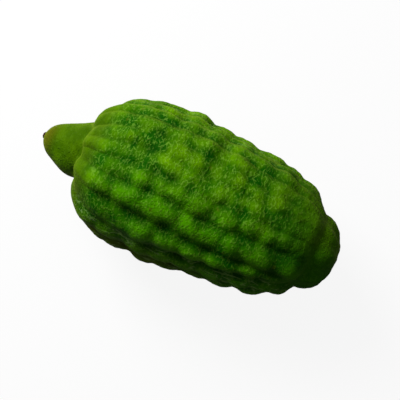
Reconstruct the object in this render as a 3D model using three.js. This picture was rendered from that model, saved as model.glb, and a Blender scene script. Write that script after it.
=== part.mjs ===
// A ribbed green lemon of the citron kind, as picked, lying on its side.
// Millimetres, +Z up. +X runs along the fruit, from the nipple at the blossom end to the collar at the
// stem end. The origin is on the surface that the fruit rests on, under the middle of its length.

import * as THREE from 'three';

// Driving dimensions
const halfLength = 80; // half of the fruit's length
const bellyRadius = 36.7; // of the valleys between the ribs, at the widest place
const ridgeHeight = 0.8; // of a plain rib above its valleys, before its knobs
const shoulderRidge = 1.1; // share of the ridge height that every rib has on the nipple's shoulder
const knobHeight = 1.55; // of a full knob above its rib
const knobLong = 5.6; // how far a knob reaches along the rib before it dies away
const knobWide = 5.4; // how far it reaches across
const knobFlatness = 1.5; // 1 is a bell, more is flatter on top with steeper sides
const knobSpacing = 13.5; // from knob to knob on the even ribs of the hidden sides
const hollowDepth = 1.15; // of a full hollow in the valley between two ribs
const hollowLong = 4.6;
const hollowWide = 4.2;
const valleyDepth = 0.9; // of the crease that runs the whole length of a valley
const swellHeight = 0.55; // slow swellings that break up the ribs
const lobeHeight = 0.9; // of the rounded lobes on the shoulder round the nipple
const lobeCount = 9;
const lobeTurn = -8; // degrees from the top to a lobe's crest
const collarRibHeight = 0.65;
const nippleShift = 1.6; // how far the nipple sits towards -Y
const collarShift = 0.7; // how far the collar does
const leanTurn = 12; // how far the ribs round leanAngle turn outwards towards the collar, in degrees
const leanAngle = 32;
const leanWidth = 18;
const fullness = 1.6; // how much the underside fills out towards the stem end
const restDepth = 1.2; // how far the lowest knobs are pressed flat
const pieceGap = 0.3; // between the fruit and what is seated in it

// Mesh fineness: columns run along the ribs, rows run round the fruit
const columnsPerRib = 4;
const rowSpacing = 4.4;

// The valley line from pole to pole, as shares of the half length and of the belly's radius.
// It starts in the small dish at the nipple's tip, turns in at a furrow between nipple and body, again
// before the collar, and ends in the basin that holds the calyx.
const valleyLine = [
  [-0.985, 0.0], [-0.988, 0.03], [-0.992, 0.06], [-0.985, 0.095],
  [-0.968, 0.155], [-0.935, 0.222], [-0.88, 0.286], [-0.82, 0.348], [-0.76, 0.4],
  [-0.72, 0.432], [-0.706, 0.468], [-0.702, 0.53], [-0.69, 0.61], [-0.658, 0.71],
  [-0.605, 0.805], [-0.54, 0.888], [-0.46, 0.945], [-0.32, 0.985], [-0.15, 1.0],
  [0.0, 0.988], [0.15, 0.95], [0.31, 0.922], [0.45, 0.88], [0.56, 0.834],
  [0.65, 0.772], [0.72, 0.69], [0.77, 0.61], [0.8, 0.555], [0.813, 0.532],
  [0.827, 0.523], [0.85, 0.512], [0.88, 0.488], [0.912, 0.438], [0.943, 0.36],
  [0.967, 0.268], [0.98, 0.205], [0.976, 0.186], [0.96, 0.175], [0.945, 0.15],
  [0.942, 0.08], [0.941, 0.0],
];

// Where along the fruit each form grows out of the valley line, as shares of the half length
const stretches = {
  lobes: [-0.74, -0.69],
  lobesEnd: [-0.62, -0.4],
  ribs: [-0.72, -0.66],
  knobs: [-0.7, -0.5],
  fullKnobs: [-0.57, -0.25],
  ownRidges: [-0.6, -0.3],
  fullUnderside: [-0.15, 0.3],
  bodyEnd: [0.73, 0.83],
  collarRibs: [0.79, 0.86],
  body: [-0.82, -0.66],
  lean: [-0.2, 0.9],
};

// Places where the fruit is fuller, or flatter with a height below 0, than the valley line and the ribs
// make it. The first fills the furrow between the nipple and the body on one side.
const fullPlaces = [
  { station: -58, angle: -28, height: 0.8, long: 6, wide: 7 },
  { station: -54, angle: 88, height: -2.3, long: 5, wide: 12 },
  { station: -52, angle: 5, height: -1.3, long: 3.5, wide: 14 },
  { station: -52, angle: -88, height: -1.8, long: 3, wide: 10 },
  { station: 64, angle: -30, height: 1.5, long: 7, wide: 14 },
  { station: 59, angle: 6, height: 2, long: 5, wide: 15 },
  { station: 76, angle: 2, height: 0.8, long: 6, wide: 12 },
  { station: 73, angle: -85, height: -1.2, long: 6, wide: 10 },
  { station: 39.5, angle: 94, height: -1.3, long: 4, wide: 8 },
  { station: 53.5, angle: 94, height: -0.9, long: 3.5, wide: 8 },
];

const radians = THREE.MathUtils.degToRad;

// How far a form has grown at x: 0 before its stretch, 1 after it
function grown(x, [from, to]) {
  return THREE.MathUtils.smoothstep(x / halfLength, from, to);
}

// A rib with knobs a steady step apart and a hollow in the valley after it beside each gap
function evenRib(crest, firstKnob) {
  const knobs = [];
  const hollows = [];
  for (let station = firstKnob; station < 0.73 * halfLength; station += knobSpacing) {
    knobs.push([station, 0.85 + 0.2 * Math.sin(1.7 * station + crest)]);
    hollows.push([station + knobSpacing / 2, 0.5]);
  }
  return { crest, ridge: 0.8, groove: 0.5, knobs, hollows };
}

// Ribs, by the angle of their crest from the top towards -Y in degrees. ridge and groove say how strong
// the rib and the valley after it are. knobs and hollows, which lie in that valley, give a station along
// the fruit in millimetres and a share of the full height or depth.
const ribs = [
  {
    crest: -169, ridge: 0.8, groove: 0.5,
    knobs: [[-41, 0.8], [-28, 0.7], [-14, 0.7], [0, 1], [14, 1.3], [27, 1.5], [41, 1], [54, 0.8]],
    hollows: [[-34, 0.6], [-7, 0.5], [20, 0.5], [47, 0.5]],
  },
  evenRib(-145, -45),
  evenRib(-122, -39),
  evenRib(-102, -44),
  {
    crest: -84, ridge: 1.1, groove: 0.4,
    knobs: [[-41, 0.8], [-31, 0.9], [-22, 1.1], [-11, 1.4], [3, 1], [14, 1.1], [31, 1.4], [43, 0.9],
      [54, 1.1]],
    hollows: [[-26, 0.5], [-4, 0.6], [11, 0.5], [38, 0.6]],
  },
  {
    crest: -69, ridge: 0.5, groove: 0.3,
    knobs: [[-42, 0.6], [-24, 0.8], [-10, 0.6], [2, 0.6], [14, 0.7], [28, 0.6], [39, 0.7], [51, 0.4]],
    hollows: [[-31, 0.6], [-17, 0.6], [8, 0.6], [21, 0.5], [33, 0.6], [46, 0.5]],
  },
  {
    crest: -54, ridge: 0.5, groove: 0.3,
    knobs: [[-43, 0.5], [-34, 0.5], [-23, 0.6], [-11, 0.5], [3, 0.6], [13, 0.5], [28, 0.6], [41, 0.6],
      [54, 0.3]],
    hollows: [[-38, 0.5], [-28, 0.6], [-17, 0.6], [-5, 0.5], [6, 0.6], [21, 0.7], [35, 0.6], [48, 0.6]],
  },
  {
    crest: -37, ridge: 0.4, groove: 0.2,
    knobs: [[-44, 0.4], [-24, 0.4], [-12, 0.4], [0, 0.4], [16, 0.8], [22, 0.5], [30, 0.4], [39, 0.5],
      [56, 0.5]],
    hollows: [[-42, 0.4], [-34, 0.6], [-23, 0.9], [-5, 0.5], [4, 0.6], [23, 0.5], [31, 0.4], [47, 0.6]],
  },
  {
    crest: -22, ridge: 0.35, groove: 0.2,
    knobs: [[-46, 0.5], [-36, 0.4], [-11, 1.1], [-3, 0.6], [13, 0.6], [19, 0.6], [30, 0.5], [40, 0.6],
      [60, 0.6]],
    hollows: [[-48, 0.5], [-40, 0.5], [-32, 0.6], [-24, 0.9], [5, 0.5], [26, 0.5], [48, 0.6], [56, 0.4]],
  },
  {
    crest: -5, ridge: 0.3, groove: 0.2,
    knobs: [[-44, 0.4], [-12, 1.1], [-3, 0.4], [13, 0.6], [22, 0.3], [33, 0.6], [57, 0.4]],
    hollows: [[-37, 0.5], [-27, 0.4], [-17, 0.6], [-8, 0.6], [18, 0.6], [27, 0.5], [44, 0.6], [54, 0.5]],
  },
  {
    crest: 8, ridge: 0.5, groove: 0.3,
    knobs: [[-28, 0.4], [-22, 0.9], [-11, 0.8], [-4, 0.9], [7, 1.1], [22, 0.9], [34, 1], [42, 0.7],
      [53, 0.9]],
    hollows: [[-36, 0.8], [-29, 0.6], [-17, 0.4], [-5, 0.5], [10, 0.6], [30, 0.6], [38, 0.5], [47, 1],
      [53, 1], [59, 1]],
  },
  {
    crest: 25, ridge: 0.7, groove: 0.4,
    knobs: [[-46, 0.5], [-37, 0.5], [-27, 1], [-21, 0.6], [-11, 1.1], [-6, 1], [8, 0.8], [17, 0.8],
      [29, 0.6], [38, 0.8], [45, 0.6], [59, 1.5]],
    hollows: [[-37, 0.8], [-23, 0.9], [-15, 0.6], [-4, 0.9], [8, 0.7], [18, 0.8], [35, 0.7], [51, 1],
      [66, 1]],
  },
  {
    crest: 49, ridge: 0.6, groove: 0.3,
    knobs: [[-36, 0.3], [-14, 1], [0, 1], [13, 1.1], [24, 0.8], [31, 0.6], [41, 0.7], [53, 0.5]],
    hollows: [[-44, 0.5], [-32, 0.3], [-24, 0.6], [-8, 0.9], [7, 1], [18, 0.9], [28, 0.7], [36, 0.8],
      [47, 0.6]],
  },
  {
    crest: 71, ridge: 0.5, groove: 0.4,
    knobs: [[-43, 0.8], [-30, 0.9], [-14, 0.8], [-1, 0.9], [11, 0.7], [25, 1], [39, 0.8], [51, 0.7]],
    hollows: [[-37, 0.6], [-21, 0.7], [5, 0.8], [18, 0.7], [32, 0.7], [45, 0.6]],
  },
  {
    crest: 94, ridge: 0.9, groove: 0.5,
    knobs: [[-45, 1.5], [-37, 1.5], [-25, 1.2], [-9, 1.1], [2, 1.1], [17, 0.5], [31, 1], [47, 1.7],
      [60, 1.4]],
    hollows: [[-16, 0.5], [-4, 0.6], [12, 0.6], [38, 0.6]],
  },
  evenRib(113, -38),
  evenRib(132, -45),
  evenRib(151, -40),
  {
    crest: 169, ridge: 0.8, groove: 0.5,
    knobs: [[-46, 0.7], [-34, 0.9], [-21, 0.7], [-8, 0.8], [6, 1.1], [20, 1.4], [33, 1.5], [47, 0.9]],
    hollows: [[-27, 0.5], [-1, 0.5], [26, 0.5]],
  },
];

// The valley on either side of each rib lies half way to its neighbour
ribs.forEach((rib, k) => {
  const turn = k + 1 === ribs.length ? 360 : 0;
  const next = ribs[(k + 1) % ribs.length];
  rib.valleyAfter = (rib.crest + next.crest + turn) / 2;
  next.valleyBefore = rib.valleyAfter - turn;
  next.grooveBefore = rib.groove;
});

const knobs = ribs.flatMap((rib) => rib.knobs.map(([station, share]) => ({
  station, share, angle: radians(rib.crest + 1.5 * Math.sin(2.3 * station + rib.crest)),
})));
const hollows = ribs.flatMap((rib) => rib.hollows.map(([station, share]) => ({
  station, share, angle: radians(rib.valleyAfter),
})));

// A rounded spot's height at a place, 1 in its middle
function spot(place, station, angle, long, wide, flatness = 1) {
  const turn = place.angle - angle;
  const nearestTurn = turn - 2 * Math.PI * Math.round(turn / (2 * Math.PI));
  const along = (place.x - station) / long;
  const across = (nearestTurn * Math.max(place.radius, 12)) / wide;
  return Math.exp(-((along * along + across * across) ** flatness));
}

// Many spots as one rounded surface: close spots run together and don't pile up, and tall ones are broad
function union(place, spots, long, wide, sharpness, flatness) {
  const sum = spots.reduce((total, { station, share, angle }) => {
    const breadth = 0.7 + 0.35 * share;
    const height = share * spot(place, station, angle, long * breadth, wide * breadth, flatness);
    return total + height ** sharpness;
  }, 0);
  return sum ** (1 / sharpness);
}

// Slow swellings, as crossed waves that run along and round the fruit
function swell({ x, angle }) {
  return Math.sin(x / 6.3 + 3 * angle + 1) * Math.cos(x / 9.1 - 5 * angle)
    + 0.7 * Math.sin(x / 4.1 - 4 * angle + 2) * Math.cos(x / 7.7 + 6 * angle + 0.5);
}

// Height of the rind above the valley line. across is 0 and 1 in the rib's two valleys and 0.5 on its
// crest.
function relief(place, rib, across) {
  const { x, angle, radius } = place;
  const beforeCollar = 1 - grown(x, stretches.bodyEnd);
  const ribbed = grown(x, stretches.ribs) * beforeCollar;
  const knobbed = grown(x, stretches.knobs) * beforeCollar;
  const bold = 0.55 + 0.45 * grown(x, stretches.fullKnobs);
  const lobed = grown(x, stretches.lobes) * (1 - grown(x, stretches.lobesEnd));
  const onCollar = grown(x, stretches.collarRibs)
    * THREE.MathUtils.smoothstep(radius, 0.22 * bellyRadius, 0.4 * bellyRadius);

  const ridge = THREE.MathUtils.lerp(shoulderRidge, rib.ridge, grown(x, stretches.ownRidges));
  const crown = Math.sin(Math.PI * across) * ridge * ridgeHeight;
  const knob = union(place, knobs, knobLong, knobWide, 2.5, knobFlatness) * knobHeight;
  const hollow = union(place, hollows, hollowLong, hollowWide, 2) * hollowDepth;
  const groove = across < 0.5 ? rib.grooveBefore : rib.groove;
  const valley = groove * valleyDepth * Math.exp(-((Math.min(across, 1 - across) / 0.2) ** 2));
  const lobes = Math.cos(lobeCount * (angle - radians(lobeTurn))) * lobeHeight;
  const collarRibs = (Math.sin(9 * angle + 0.6) + 0.7 * Math.sin(5 * angle + 2)) * collarRibHeight;
  const underside = Math.max(0, -Math.cos(angle)) ** 3 * grown(x, stretches.fullUnderside) * fullness;

  return ribbed * crown + lobed * lobes + onCollar * collarRibs + beforeCollar * underside
    + knobbed * (bold * (knob - hollow - valley) + swellHeight * swell(place));
}

// Ribs drift a little to either side along the fruit, and some lean outwards before the collar
function drift(x, angle) {
  const offAngle = (THREE.MathUtils.radToDeg(angle) - leanAngle) / leanWidth;
  const lean = leanTurn * Math.exp(-offAngle * offAngle) * grown(x, stretches.lean);
  return radians(1.2 * Math.sin(x / 13 + 2 * angle) + 0.9 * Math.sin(x / 7 - 3 * angle + 1) + lean);
}

// How far the full places move a point, both outwards and towards its own end of the fruit. They stay
// clear of the calyx's basin.
function filled(place) {
  const height = fullPlaces.reduce((sum, full) => {
    const { station, angle, long, wide } = full;
    return sum + full.height * spot(place, station, radians(angle), long, wide);
  }, 0);
  const offBasin = THREE.MathUtils.smoothstep(place.radius, 0.2 * bellyRadius, 0.36 * bellyRadius);
  return height * Math.SQRT1_2 * offBasin;
}

// Rows on the valley line's own points, and evenly between those that are far apart
function valleyRows() {
  const corners = valleyLine.map(
    ([along, out]) => new THREE.Vector2(out * bellyRadius, along * halfLength),
  );
  const curve = new THREE.SplineCurve(corners);
  const rows = [corners[0]];
  for (let k = 1; k < corners.length; k++) {
    const steps = Math.ceil(corners[k].distanceTo(corners[k - 1]) / rowSpacing);
    for (let step = 1; step <= steps; step++) {
      rows.push(curve.getPoint((k - 1 + step / steps) / (corners.length - 1)));
    }
  }
  return rows;
}

// The fruit's length is the lathe's Y axis here. Each lathed point is turned to its own place on a rib
// and lifted off the valley line by the relief.
function fruitGeometry() {
  const rows = valleyRows();
  const lastRow = rows.length - 1;
  const columnCount = ribs.length * columnsPerRib;
  const geometry = new THREE.LatheGeometry(rows, columnCount);
  const position = geometry.attributes.position;
  const normal = geometry.attributes.normal;
  const outward = new THREE.Vector3();

  for (let column = 0; column <= columnCount; column++) {
    const rib = ribs[Math.floor((column % columnCount) / columnsPerRib)];
    const across = (column % columnsPerRib) / columnsPerRib;
    const angle = across < 0.5
      ? radians(THREE.MathUtils.lerp(rib.valleyBefore, rib.crest, across * 2))
      : radians(THREE.MathUtils.lerp(rib.crest, rib.valleyAfter, across * 2 - 1));
    for (let row = 0; row <= lastRow; row++) {
      const i = column * rows.length + row;
      const { x: radius, y: x } = rows[row];
      const atPole = row === 0 || row === lastRow;
      outward.fromBufferAttribute(normal, i);
      const place = { x, angle, radius };
      const lift = atPole ? 0 : relief(place, rib, across);
      const fill = filled(place);
      const liftedRadius = radius + lift * Math.hypot(outward.x, outward.z) + fill;
      const liftedX = x + lift * outward.y + fill * Math.sign(x);
      const shift = nippleShift * (1 - grown(liftedX, stretches.body))
        + collarShift * grown(liftedX, stretches.bodyEnd);
      const turned = angle + drift(x, angle);
      const sideways = liftedRadius * Math.sin(turned) + shift;
      position.setXYZ(i, sideways, liftedX, liftedRadius * Math.cos(turned));
    }
  }
  return geometry;
}

const fruitShape = fruitGeometry();
fruitShape.computeBoundingBox();
const axisHeight = -fruitShape.boundingBox.min.z - restDepth;

// The knobs that carry the fruit are pressed flat
const heights = fruitShape.attributes.position;
for (let i = 0; i < heights.count; i++) {
  heights.setZ(i, Math.max(heights.getZ(i), -axisHeight));
}

// The dried stub of the flower's style, seated in the dish at the nipple's tip
function styleStubGeometry() {
  const seat = valleyLine[0][0] * halfLength - pieceGap;
  const outline = [
    [0, 0], [1.5, -0.1], [1.75, -0.55], [1.5, -1.05], [1.05, -1.4], [0.55, -1.45], [0, -1.2],
  ].map(([radius, along]) => new THREE.Vector2(radius, seat + along));
  const geometry = new THREE.LatheGeometry(outline.reverse(), 14);
  const position = geometry.attributes.position;
  for (let i = 0; i < position.count; i++) {
    const angle = Math.atan2(position.getX(i), position.getZ(i));
    const ragged = 1 + 0.1 * Math.sin(3 * angle + 1) + 0.07 * Math.sin(5 * angle);
    position.setX(i, position.getX(i) * ragged + nippleShift);
    position.setZ(i, position.getZ(i) * ragged);
  }
  return geometry;
}

// The five-lobed calyx that stays on a picked fruit, with the short stalk cut level with the collar
function calyxGeometry() {
  const seat = valleyLine.at(-1)[0] * halfLength + pieceGap;
  const outline = [
    [0, 0], [4.6, 0.05], [5.3, 0.35], [5.2, 0.75], [4.2, 1.1], [3, 1.35], [2.5, 1.7], [2.3, 2.3],
    [2.35, 2.75], [2.1, 2.9], [0.9, 2.75], [0, 2.7],
  ].map(([radius, along]) => new THREE.Vector2(radius, seat + along));
  const geometry = new THREE.LatheGeometry(outline, 30);
  const position = geometry.attributes.position;
  for (let i = 0; i < position.count; i++) {
    const angle = Math.atan2(position.getX(i), position.getZ(i));
    const radius = Math.hypot(position.getX(i), position.getZ(i));
    const lobe = 1 - 0.11 * (1 + Math.cos(5 * angle)) * THREE.MathUtils.smoothstep(radius, 2.4, 5);
    position.setX(i, position.getX(i) * lobe + collarShift);
    position.setZ(i, position.getZ(i) * lobe);
  }
  return geometry;
}

function piece(name, geometry, color, roughness) {
  const material = new THREE.MeshStandardMaterial({ color, roughness, metalness: 0 });
  const mesh = new THREE.Mesh(geometry, material);
  mesh.name = name;
  return mesh;
}

const lemon = new THREE.Group();
lemon.add(
  piece('fruit', fruitShape, 0x3f7a08, 0.5),
  piece('style_stub', styleStubGeometry(), 0x3a2410, 0.85),
  piece('calyx_button', calyxGeometry(), 0x6b7030, 0.75),
);
lemon.rotation.z = -Math.PI / 2; // the lathe's own axis lies down along +X
const middle = new THREE.Box3().setFromObject(lemon).getCenter(new THREE.Vector3());
lemon.position.set(-middle.x, -middle.y, axisHeight);

export default lemon;
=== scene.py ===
import math

import bpy
import numpy as np
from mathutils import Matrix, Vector, noise


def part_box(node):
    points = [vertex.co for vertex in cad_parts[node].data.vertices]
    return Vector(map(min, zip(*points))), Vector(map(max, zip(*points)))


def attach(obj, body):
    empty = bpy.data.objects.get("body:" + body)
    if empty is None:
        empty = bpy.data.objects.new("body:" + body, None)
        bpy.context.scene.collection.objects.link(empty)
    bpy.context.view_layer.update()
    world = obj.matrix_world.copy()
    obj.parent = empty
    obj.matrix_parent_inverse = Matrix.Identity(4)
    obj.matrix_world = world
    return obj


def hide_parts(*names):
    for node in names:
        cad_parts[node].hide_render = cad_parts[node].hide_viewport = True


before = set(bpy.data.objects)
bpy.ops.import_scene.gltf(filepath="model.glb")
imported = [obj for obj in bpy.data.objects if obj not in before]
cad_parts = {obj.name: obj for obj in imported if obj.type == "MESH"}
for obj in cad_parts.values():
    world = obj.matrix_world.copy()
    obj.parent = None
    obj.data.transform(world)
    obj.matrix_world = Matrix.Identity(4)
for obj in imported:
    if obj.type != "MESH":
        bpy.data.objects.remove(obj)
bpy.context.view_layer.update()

# A ribbed green lemon of the citron kind, lying on its side. The rind repeats the form of the solid
# at a much finer mesh, with the pebbled skin as geometry and the oil glands in its material.

mm = 0.001

fruit = {
    "halfLength": 80.0,  # lengths in millimetres
    "bellyRadius": 36.7,
    "ridgeHeight": 0.8,
    "knobHeight": 1.55,
    "knobLong": 5.6,
    "knobWide": 5.4,
    "knobFlatness": 1.5,  # 1 is a bell, more is flatter on top with steeper sides
    "knobSpacing": 13.5,
    "knobSharpness": 2.5,  # how clearly close knobs stay apart
    "knobWander": 1.5,  # degrees to either side of the rib's crest
    "firstKnobs": 0.55,  # share of their height that the knobs by the shoulder have
    "hollowDepth": 1.15,
    "hollowLong": 4.6,
    "hollowWide": 4.2,
    "hollowSharpness": 2,
    "spotBreadth": (0.7, 0.35),  # share of its size that every knob or hollow has, and a tall one more
    "valleyDepth": 0.9,
    "valleyWidth": 0.2,  # share of a rib's width
    "swellHeight": 0.55,
    "shoulderRidge": 1.1,  # share of the ridge height that every rib has on the shoulder
    "lobeHeight": 0.9,
    "lobeCount": 9,
    "lobeTurn": -8.0,  # degrees
    "collarRibHeight": 0.65,
    "collarRibsGrow": (0.22, 0.4),  # shares of the belly's radius
    "fillGrows": (0.2, 0.36),
    "nippleShift": 1.6,
    "collarShift": 0.7,
    "poleRadius": 12.0,  # where the fruit is thinner than this, knobs narrow as it does
    "ribWaver": (1.2, 0.9),  # degrees, in slow and in quick waves along the ribs
    "leanTurn": 12.0,  # degrees that the ribs round the lean angle turn outwards towards the collar
    "leanAngle": 32.0,
    "leanWidth": 18.0,
    "fullness": 1.6,
    "rows": 286,
    "columnsPerRib": 18,
}

# Where along the fruit each form grows out of the valley line, as shares of the half length
stretches = {
    "lobes": (-0.74, -0.69),
    "lobesEnd": (-0.62, -0.4),
    "ribs": (-0.72, -0.66),
    "knobs": (-0.7, -0.5),
    "fullKnobs": (-0.57, -0.25),
    "ownRidges": (-0.6, -0.3),
    "fullUnderside": (-0.15, 0.3),
    "bodyEnd": (0.73, 0.83),
    "collarRibs": (0.79, 0.86),
    "nipple": (-0.82, -0.66),
    "lean": (-0.2, 0.9),
}

# From where to where the material's masks grow: stations in millimetres, for a side the sine of the
# angle from the top, and for the underside its cosine with the sign turned
maskStretches = {
    "shoulder": (-56, -36),
    "tip": (-79.5, -70),
    "collar": (26, 68),
    "shadedSide": (-0.3, 0.4),
    "shadedStart": (-58, -22),
    "groundUnder": (-0.6, 0.1),
    "groundSide": (-0.5, 0.6),
    "groundEnd": (-10, 40),
    "flankSide": (0.7, 0.95),
    "flankStart": (-64, -50),
    "flankEnd": (56, 66),
}

# What the shoulder's lobes, the valleys and the flank towards +Y add to the masks
maskShares = {
    "lobeTop": 0.4,
    "valleyHollow": 0.7,
    "lobeHollow": 0.5,
    "lobeHollowWidth": 0.12,  # share of a rib's width
    "farFlank": 0.4,
}

# Places where the fruit is fuller, or flatter with a height below 0, than the valley line and the ribs
# make it, with an angle in degrees from the top towards -Y
fullPlaces = [
    {"station": -58.0, "angle": -28.0, "height": 0.8, "long": 6.0, "wide": 7.0},
    {"station": -54.0, "angle": 88.0, "height": -2.3, "long": 5.0, "wide": 12.0},
    {"station": -52.0, "angle": 5.0, "height": -1.3, "long": 3.5, "wide": 14.0},
    {"station": -52.0, "angle": -88.0, "height": -1.8, "long": 3.0, "wide": 10.0},
    {"station": 64.0, "angle": -30.0, "height": 1.5, "long": 7.0, "wide": 14.0},
    {"station": 59.0, "angle": 6.0, "height": 2.0, "long": 5.0, "wide": 15.0},
    {"station": 76.0, "angle": 2.0, "height": 0.8, "long": 6.0, "wide": 12.0},
    {"station": 73.0, "angle": -85.0, "height": -1.2, "long": 6.0, "wide": 10.0},
    {"station": 39.5, "angle": 94.0, "height": -1.3, "long": 4.0, "wide": 8.0},
    {"station": 53.5, "angle": 94.0, "height": -0.9, "long": 3.5, "wide": 8.0},
]

# The valley line from pole to pole, as shares of the half length and of the belly's radius
valleyLine = [
    (-0.985, 0.0), (-0.988, 0.03), (-0.992, 0.06), (-0.985, 0.095),
    (-0.968, 0.155), (-0.935, 0.222), (-0.88, 0.286), (-0.82, 0.348), (-0.76, 0.4),
    (-0.72, 0.432), (-0.706, 0.468), (-0.702, 0.53), (-0.69, 0.61), (-0.658, 0.71),
    (-0.605, 0.805), (-0.54, 0.888), (-0.46, 0.945), (-0.32, 0.985), (-0.15, 1.0),
    (0.0, 0.988), (0.15, 0.95), (0.31, 0.922), (0.45, 0.88), (0.56, 0.834),
    (0.65, 0.772), (0.72, 0.69), (0.77, 0.61), (0.8, 0.555), (0.813, 0.532),
    (0.827, 0.523), (0.85, 0.512), (0.88, 0.488), (0.912, 0.438), (0.943, 0.36),
    (0.967, 0.268), (0.98, 0.205), (0.976, 0.186), (0.96, 0.175), (0.945, 0.15),
    (0.942, 0.08), (0.941, 0.0),
]


# A rib with knobs a steady step apart and a hollow in the valley after it beside each gap
def evenRib(crest, firstKnob):
    knobs = []
    hollows = []
    station = firstKnob
    while station < 0.73 * fruit["halfLength"]:
        knobs.append((station, 0.85 + 0.2 * math.sin(1.7 * station + crest)))
        hollows.append((station + fruit["knobSpacing"] / 2, 0.5))
        station += fruit["knobSpacing"]
    return {"crest": crest, "ridge": 0.8, "groove": 0.5, "knobs": knobs, "hollows": hollows}


# Ribs by the angle of their crest from the top towards -Y in degrees, with the strength of the rib and
# of the valley after it. Knobs, and hollows in that valley, are a station in millimetres and a share.
ribs = [
    {"crest": -169, "ridge": 0.8, "groove": 0.5,
     "knobs": [(-41, 0.8), (-28, 0.7), (-14, 0.7), (0, 1), (14, 1.3), (27, 1.5), (41, 1), (54, 0.8)],
     "hollows": [(-34, 0.6), (-7, 0.5), (20, 0.5), (47, 0.5)]},
    evenRib(-145, -45),
    evenRib(-122, -39),
    evenRib(-102, -44),
    {"crest": -84, "ridge": 1.1, "groove": 0.4,
     "knobs": [(-41, 0.8), (-31, 0.9), (-22, 1.1), (-11, 1.4), (3, 1), (14, 1.1), (31, 1.4), (43, 0.9),
               (54, 1.1)],
     "hollows": [(-26, 0.5), (-4, 0.6), (11, 0.5), (38, 0.6)]},
    {"crest": -69, "ridge": 0.5, "groove": 0.3,
     "knobs": [(-42, 0.6), (-24, 0.8), (-10, 0.6), (2, 0.6), (14, 0.7), (28, 0.6), (39, 0.7), (51, 0.4)],
     "hollows": [(-31, 0.6), (-17, 0.6), (8, 0.6), (21, 0.5), (33, 0.6), (46, 0.5)]},
    {"crest": -54, "ridge": 0.5, "groove": 0.3,
     "knobs": [(-43, 0.5), (-34, 0.5), (-23, 0.6), (-11, 0.5), (3, 0.6), (13, 0.5), (28, 0.6), (41, 0.6),
               (54, 0.3)],
     "hollows": [(-38, 0.5), (-28, 0.6), (-17, 0.6), (-5, 0.5), (6, 0.6), (21, 0.7), (35, 0.6),
                 (48, 0.6)]},
    {"crest": -37, "ridge": 0.4, "groove": 0.2,
     "knobs": [(-44, 0.4), (-24, 0.4), (-12, 0.4), (0, 0.4), (16, 0.8), (22, 0.5), (30, 0.4), (39, 0.5),
               (56, 0.5)],
     "hollows": [(-42, 0.4), (-34, 0.6), (-23, 0.9), (-5, 0.5), (4, 0.6), (23, 0.5), (31, 0.4),
                 (47, 0.6)]},
    {"crest": -22, "ridge": 0.35, "groove": 0.2,
     "knobs": [(-46, 0.5), (-36, 0.4), (-11, 1.1), (-3, 0.6), (13, 0.6), (19, 0.6), (30, 0.5), (40, 0.6),
               (60, 0.6)],
     "hollows": [(-48, 0.5), (-40, 0.5), (-32, 0.6), (-24, 0.9), (5, 0.5), (26, 0.5), (48, 0.6),
                 (56, 0.4)]},
    {"crest": -5, "ridge": 0.3, "groove": 0.2,
     "knobs": [(-44, 0.4), (-12, 1.1), (-3, 0.4), (13, 0.6), (22, 0.3), (33, 0.6), (57, 0.4)],
     "hollows": [(-37, 0.5), (-27, 0.4), (-17, 0.6), (-8, 0.6), (18, 0.6), (27, 0.5), (44, 0.6),
                 (54, 0.5)]},
    {"crest": 8, "ridge": 0.5, "groove": 0.3,
     "knobs": [(-28, 0.4), (-22, 0.9), (-11, 0.8), (-4, 0.9), (7, 1.1), (22, 0.9), (34, 1), (42, 0.7),
               (53, 0.9)],
     "hollows": [(-36, 0.8), (-29, 0.6), (-17, 0.4), (-5, 0.5), (10, 0.6), (30, 0.6), (38, 0.5), (47, 1),
                 (53, 1), (59, 1)]},
    {"crest": 25, "ridge": 0.7, "groove": 0.4,
     "knobs": [(-46, 0.5), (-37, 0.5), (-27, 1), (-21, 0.6), (-11, 1.1), (-6, 1), (8, 0.8), (17, 0.8),
               (29, 0.6), (38, 0.8), (45, 0.6), (59, 1.5)],
     "hollows": [(-37, 0.8), (-23, 0.9), (-15, 0.6), (-4, 0.9), (8, 0.7), (18, 0.8), (35, 0.7), (51, 1),
                 (66, 1)]},
    {"crest": 49, "ridge": 0.6, "groove": 0.3,
     "knobs": [(-36, 0.3), (-14, 1), (0, 1), (13, 1.1), (24, 0.8), (31, 0.6), (41, 0.7), (53, 0.5)],
     "hollows": [(-44, 0.5), (-32, 0.3), (-24, 0.6), (-8, 0.9), (7, 1), (18, 0.9), (28, 0.7), (36, 0.8),
                 (47, 0.6)]},
    {"crest": 71, "ridge": 0.5, "groove": 0.4,
     "knobs": [(-43, 0.8), (-30, 0.9), (-14, 0.8), (-1, 0.9), (11, 0.7), (25, 1), (39, 0.8), (51, 0.7)],
     "hollows": [(-37, 0.6), (-21, 0.7), (5, 0.8), (18, 0.7), (32, 0.7), (45, 0.6)]},
    {"crest": 94, "ridge": 0.9, "groove": 0.5,
     "knobs": [(-45, 1.5), (-37, 1.5), (-25, 1.2), (-9, 1.1), (2, 1.1), (17, 0.5), (31, 1), (47, 1.7),
               (60, 1.4)],
     "hollows": [(-16, 0.5), (-4, 0.6), (12, 0.6), (38, 0.6)]},
    evenRib(113, -38),
    evenRib(132, -45),
    evenRib(151, -40),
    {"crest": 169, "ridge": 0.8, "groove": 0.5,
     "knobs": [(-46, 0.7), (-34, 0.9), (-21, 0.7), (-8, 0.8), (6, 1.1), (20, 1.4), (33, 1.5), (47, 0.9)],
     "hollows": [(-27, 0.5), (-1, 0.5), (26, 0.5)]},
]

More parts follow.
